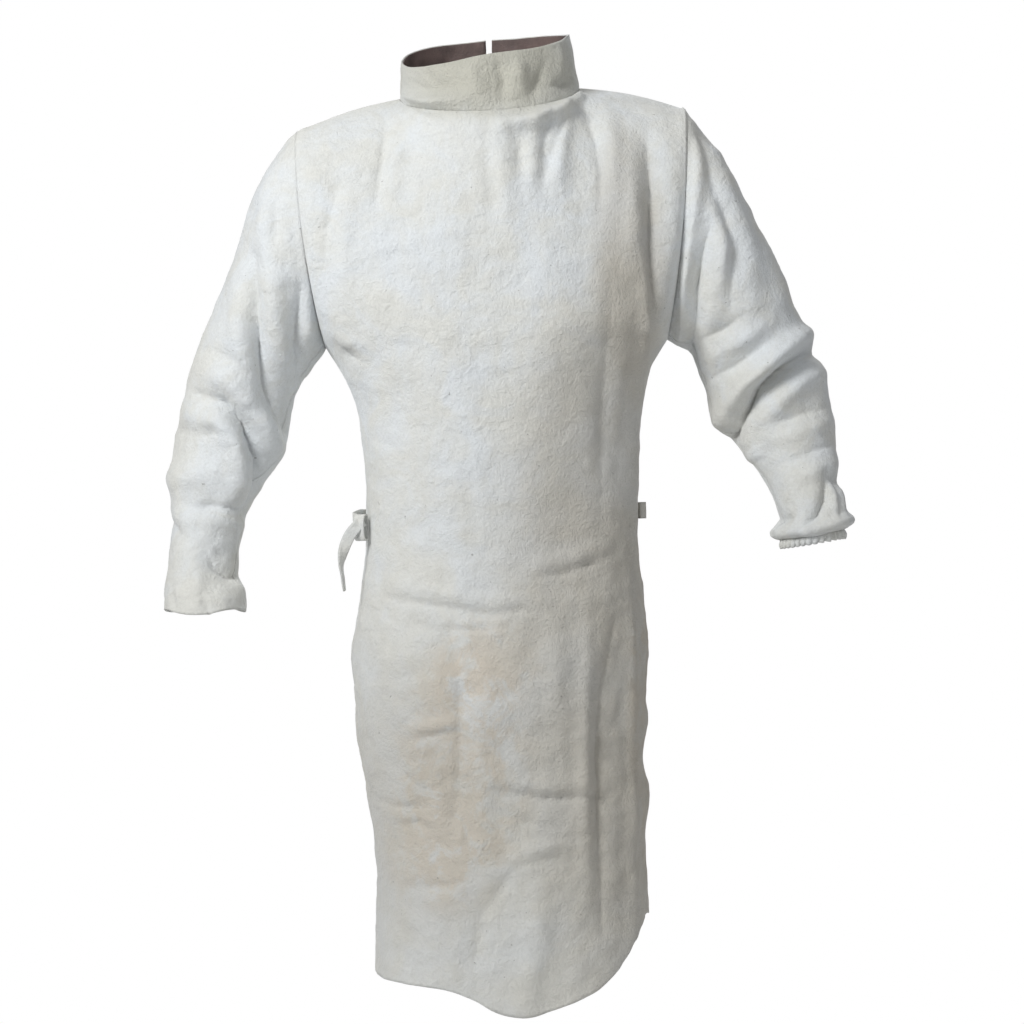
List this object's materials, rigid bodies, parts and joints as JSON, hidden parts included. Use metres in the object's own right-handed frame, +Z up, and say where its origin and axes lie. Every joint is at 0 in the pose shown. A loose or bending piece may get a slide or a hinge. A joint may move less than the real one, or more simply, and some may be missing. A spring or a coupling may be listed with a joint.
{
  "type": "sleeved leather apron",
  "caption": "Full-length split-leather apron with long elasticated sleeves, lined stand collar, open back with press-stud tabs and a tied waist strap.",
  "frame": {"origin": "middle of the ring where the collar joins the body, at the wearer's neck", "axes": "+Z up along the body, -Y the way the wearer faces, +X towards the wearer's left"},
  "size_m": [0.8358, 0.2552, 1.1871],
  "materials": {
    "split_leather": "suede, off-white, napped",
    "grain_leather": "smooth brown-grey lining",
    "elastic": "woven elastic",
    "steel": "nickel-plated"
  },
  "bodies": {
    "garment": {"front_panel": "split_leather", "right_side_panel": "split_leather", "left_side_panel": "split_leather", "right_back_yoke": "split_leather", "left_back_yoke": "split_leather", "collar": "split_leather", "collar_lining": "grain_leather", "waist_strap": "split_leather", "strap_keeper": "split_leather", "collar_tab_root": "split_leather", "upper_back_tab_root": "split_leather", "lower_back_tab_root": "split_leather", "collar_stud_post": "steel", "upper_back_stud_post": "steel", "lower_back_stud_post": "steel"},
    "right_sleeve": {"right_sleeve_upper": "split_leather", "right_sleeve_under": "split_leather", "right_cuff_elastic": "elastic", "right_cuff_hem": "split_leather"},
    "left_sleeve": {"left_sleeve_upper": "split_leather", "left_sleeve_under": "split_leather", "left_cuff_elastic": "elastic", "left_cuff_hem": "split_leather"},
    "collar_flap": {"collar_tab": "split_leather", "collar_stud_cap": "steel"},
    "upper_back_flap": {"upper_back_tab": "split_leather", "upper_back_stud_cap": "steel"},
    "lower_back_flap": {"lower_back_tab": "split_leather", "lower_back_stud_cap": "steel"},
    "strap_end": {"strap_tail": "split_leather"}
  },
  "joints": [
    {"name": "right_sleeve_swing", "type": "hinge", "parent": "garment", "child": "right_sleeve", "pos_m": [-0.237, 0, -0.025], "axis": [0, 1, 0], "range_deg": [0, 35]},
    {"name": "left_sleeve_swing", "type": "hinge", "parent": "garment", "child": "left_sleeve", "pos_m": [0.237, 0, -0.025], "axis": [0, -1, 0], "range_deg": [0, 35]},
    {"name": "collar_tab_open", "type": "hinge", "parent": "garment", "child": "collar_flap", "pos_m": [-0.0314, 0.1019, 0.0524], "axis": [0.03, -0.102, 0.9943], "range_deg": [0, 100]},
    {"name": "upper_back_tab_open", "type": "hinge", "parent": "garment", "child": "upper_back_flap", "pos_m": [-0.0331, 0.1241, -0.151], "axis": [-0.019, -0.057, 0.9982], "range_deg": [0, 100]},
    {"name": "lower_back_tab_open", "type": "hinge", "parent": "garment", "child": "lower_back_flap", "pos_m": [-0.0319, 0.1256, -0.3702], "axis": [0.001, 0.07, 0.9975], "range_deg": [0, 100]},
    {"name": "strap_tail_swing", "type": "hinge", "parent": "garment", "child": "strap_end", "pos_m": [-0.178, -0.057, -0.507], "axis": [0, 1, 0], "range_deg": [0, 40]}
  ]
}
